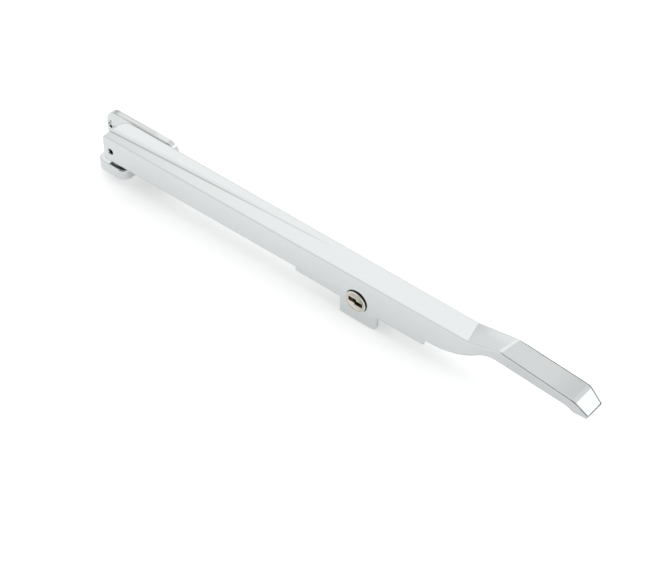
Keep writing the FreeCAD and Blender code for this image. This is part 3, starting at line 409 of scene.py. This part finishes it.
# %% The glow that the metal sees
COOL = (0.94, 0.975, 1.0)
GLOW_START, GLOW_LENGTH = -30 * MM, 240 * MM
GLOWS = [(-20 * MM, 0.385), (30 * MM, 0.43), (100 * MM, 0.41), (172 * MM, 0.375), (200 * MM, 0.21)]
along_floor = spread(paper_tree, own_place(paper_tree)["X"], 0.0, 1.0, GLOW_START, GLOW_START + GLOW_LENGTH)
metal_sees = paper_tree.nodes.new("ShaderNodeValToRGB")
stops = metal_sees.color_ramp.elements
while len(stops) < len(GLOWS):
    stops.new(1.0)
for stop, (x, strength) in zip(stops, GLOWS):
    stop.position = (x - GLOW_START) / GLOW_LENGTH
    stop.color = (*[channel * strength for channel in COOL], 1.0)
paper_tree.links.new(along_floor, metal_sees.inputs["Fac"])
print("glow has %d stops" % len(stops))

# %% Add the glow to the paper
PAPER_GLOW = (0.5, 0.5, 0.5)
paper_rays = paper_tree.nodes.new("ShaderNodeLightPath").outputs
shown = reckon(paper_tree, "MAXIMUM", paper_rays["Is Camera Ray"], paper_rays["Is Glossy Ray"])
shown = reckon(paper_tree, "MAXIMUM", shown, paper_rays["Is Transmission Ray"])
glow = paper_tree.nodes.new("ShaderNodeEmission")
glow_colour = blend(paper_tree, paper_rays["Is Camera Ray"], metal_sees.outputs["Color"], PAPER_GLOW)
paper_tree.links.new(glow_colour, glow.inputs["Color"])
paper_tree.links.new(shown, glow.inputs["Strength"])
both = paper_tree.nodes.new("ShaderNodeAddShader")
paper_tree.links.new(paper_shader.outputs[0], both.inputs[0])
paper_tree.links.new(glow.outputs[0], both.inputs[1])
paper_tree.links.new(both.outputs[0], paper_tree.nodes["Material Output"].inputs["Surface"])
floor.data.materials.append(paper)
print("floor glows for the camera and the metal")

# %% [markdown]
# ## A dark flag behind the handle
# A photographer stands a dark card beside bright metal, just out of sight, so that its edges draw a thin dark
# line against the white. This flag stands behind the handle. Only the metal sees it, so it neither shows nor
# darkens the floor.

# %% Dark flag
FLAG_LEFT, FLAG_RIGHT, FLAG_Y, FLAG_TOP = 193 * MM, 380 * MM, 42 * MM, 45 * MM
FELT_DARK, FELT_LIGHT, FELT_GRAIN = (0.02, 0.02, 0.02), (0.05, 0.05, 0.05), 900.0
bpy.ops.mesh.primitive_plane_add(size=1.0, location=(0, 0, 0))
flag = bpy.context.object
flag.name = "dark_flag"
flag.data.transform(
    Matrix.Translation(((FLAG_LEFT + FLAG_RIGHT) / 2, FLAG_Y, (FLOOR_Z + FLAG_TOP) / 2))
    @ Matrix.Diagonal((FLAG_RIGHT - FLAG_LEFT, 1.0, FLAG_TOP - FLOOR_Z, 1.0))
    @ Matrix.Rotation(math.radians(90), 4, "X"))
felt, felt_tree, felt_shader = new_finish("dark_felt")
fuzz = add_noise(felt_tree, own_point(felt_tree), FELT_GRAIN)
felt_tree.links.new(blend(felt_tree, fuzz, FELT_DARK, FELT_LIGHT), felt_shader.inputs["Base Color"])
felt_shader.inputs["Roughness"].default_value = 1.0
flag.data.materials.append(felt)
flag.visible_camera = False
flag.visible_diffuse = False
flag.visible_shadow = False
print("flag is %.0f mm wide" % ((FLAG_RIGHT - FLAG_LEFT) / MM))

# %% [markdown]
# ## The room that the chrome shows
# Chrome has no look of its own, so the room around it decides the picture. This one is a pale tent, with
# brighter panels and a dark opening. An image of a room could wrap the world, but a few soft round patches,
# each at a known turn and rise, can be aimed, because a flat face shows only the part of the tent that lies
# in its mirror direction. A patch is full inside one angle from its middle and gone outside another.

# %% Patches of sky
def towards(turn, rise):
    """The direction at a turn from +X and a rise from the floor, both in degrees."""
    around, above = math.radians(turn), math.radians(rise)
    return Vector((math.cos(around) * math.cos(above), math.sin(around) * math.cos(above), math.sin(above)))


def along(tree, sight, direction):
    """How much of the sight lies along a direction, from -1 to 1."""
    dot = tree.nodes.new("ShaderNodeVectorMath")
    dot.operation = "DOT_PRODUCT"
    dot.inputs[1].default_value = direction
    tree.links.new(sight, dot.inputs[0])
    return dot.outputs["Value"]


def patch(tree, sight, turn, rise, inner, outer, strength):
    """A soft round patch of the sky: full inside inner degrees, gone outside outer degrees."""
    near, far = math.cos(math.radians(inner)), math.cos(math.radians(outer))
    return spread(tree, along(tree, sight, towards(turn, rise)), 0.0, strength, far, near, smooth=True)


print("sky can be patched")

# %% The tent and its panels
SKY_LEVEL = 0.91
# Turn, rise, full inside, gone outside (all in degrees) and strength; below zero it darkens.
SKY_PATCHES = [
    (123, 38, 10, 16, 0.27),  # a panel behind the arm, in the arm's top
    (47, 36, 4, 11, 0.50),  # a panel past the handle, in the turned-down tip
    (288, 38, 24, 40, -0.88),  # a dark opening on the camera's side, in the eased near edges
    (110, 50, 3, 8, 0.03),  # a little more light for the grip
    (95, 53.5, 1, 7, -0.08),  # and less for its drooping end
    (140, 27, 2, 8, 0.05),  # a little more for the ramp
    (146, 43, 3, 9, -0.05),  # a little less for the top's near strip by the pivot
]
world = bpy.data.worlds.new("pale_tent")
bpy.context.scene.world = world
world.use_nodes = True
sky = world.node_tree
sight = sky.nodes.new("ShaderNodeTexCoord").outputs["Generated"]
sky_light = total(sky, SKY_LEVEL, *[patch(sky, sight, *numbers) for numbers in SKY_PATCHES])
print("tent has %d patches" % len(SKY_PATCHES))

# %% [markdown]
# ## A soft shade beyond the ridge
# By the pivot, the top is a little darker just beyond the ridge, and lightens from there. A flat top would
# show a line across the tent, from the pivot's end to the handle's. The slope beyond the ridge shows what lies
# beside that line, so the shade is a band there. The line is a great circle, and the distance to it is one dot
# product with the circle's axis.

# %% Shade beside the arm's own line
PIVOT_SIGHT, HANDLE_SIGHT = Vector((-0.562, 0.520, 0.643)), Vector((-0.394, 0.578, 0.715))
SHADE_STARTS, SHADE_FULL, SHADE_FADES, SHADE_ENDS = 0.015, 0.040, 0.06, 0.12
SHADE_PATCH = (137, 38, 3, 7, 0.20)
SKY_DARKEST = 0.03
beside = along(sky, sight, PIVOT_SIGHT.cross(HANDLE_SIGHT).normalized())
shade_in = spread(sky, beside, 0.0, 1.0, SHADE_STARTS, SHADE_FULL, smooth=True)
shade_out = spread(sky, beside, 1.0, 0.0, SHADE_FADES, SHADE_ENDS)
shade = product(sky, shade_in, shade_out, patch(sky, sight, *SHADE_PATCH))
sky_light = reckon(sky, "MAXIMUM", reckon(sky, "SUBTRACT", sky_light, shade), SKY_DARKEST)
print("shade laid from %.3f to %.3f beside the line" % (SHADE_STARTS, SHADE_ENDS))

# %% Show the tent to everything but the camera, which sees white
SKY_COLOUR = (0.985, 1.0, 0.995)
background = sky.nodes["Background"]
to_camera = sky.nodes.new("ShaderNodeLightPath").outputs["Is Camera Ray"]
not_to_camera = reckon(sky, "SUBTRACT", 1.0, to_camera)
sky.links.new(total(sky, product(sky, sky_light, not_to_camera), to_camera), background.inputs["Strength"])
background.inputs["Color"].default_value = (*SKY_COLOUR, 1.0)
print("world ready")

# %% [markdown]
# ## One soft lamp for the shadow
# The tent lights the stay from all round and would leave it floating. One large lamp overhead, a little behind
# the stay, gives it a faint shadow that falls forwards. The chrome doesn't see it, so it adds no glare.

# %% Soft lamp
LAMP_PLACE, LAMP_TARGET = Vector((0.1, 0.25, 1.2)), Vector((0.11, 0.0, 0.0))
LAMP_SIZE, LAMP_WATTS = 1.0, 2.0
lamp_data = bpy.data.lights.new("over_lamp", "AREA")
lamp_data.shape = "SQUARE"
lamp_data.size = LAMP_SIZE
lamp_data.energy = LAMP_WATTS
lamp = bpy.data.objects.new("over_lamp", lamp_data)
bpy.context.collection.objects.link(lamp)
lamp.location = LAMP_PLACE
lamp.rotation_euler = (LAMP_TARGET - LAMP_PLACE).to_track_quat("-Z", "Y").to_euler()
lamp.visible_glossy = False
print("lamp hangs %.2f m up" % LAMP_PLACE.z)

# %% [markdown]
# ## The camera
# The view was matched to the stay's own edges: turned about 39 degrees from square on, and looking down at
# about 45 degrees. The arm's end at the pivot, from which the camera's place is worked out in millimetres,
# doesn't lie in the middle of the picture, so the camera is moved to the right and down, and not turned.

# %% Camera
TURN = math.radians(39.464)
RISE = math.radians(44.834)
DISTANCE = 900.0
MOVE_RIGHT, MOVE_UP = 95.378, -72.28
FOCAL_PIXELS, FRAME_WIDTH = 2064.6, 665
SENSOR_WIDTH = 36.0
ARM_END = Vector((-8.5, -10.48, 8.0))
back = Vector((math.sin(TURN) * math.cos(RISE), -math.cos(TURN) * math.cos(RISE), math.sin(RISE)))
right = Vector((math.cos(TURN), math.sin(TURN), 0.0))
up = back.cross(right)
eye = (back * DISTANCE + right * MOVE_RIGHT + up * MOVE_UP + ARM_END) * MM
camera_data = bpy.data.cameras.new("camera")
camera_data.sensor_width = SENSOR_WIDTH
camera_data.lens = FOCAL_PIXELS * SENSOR_WIDTH / FRAME_WIDTH
camera = bpy.data.objects.new("camera", camera_data)
bpy.context.collection.objects.link(camera)
camera.matrix_world = Matrix((
    (right.x, up.x, back.x, eye.x),
    (right.y, up.y, back.y, eye.y),
    (right.z, up.z, back.z, eye.z),
    (0, 0, 0, 1),
))
bpy.context.scene.camera = camera
bpy.context.scene.view_settings.view_transform = "Standard"
print("camera at", [round(v, 3) for v in camera.matrix_world.translation])
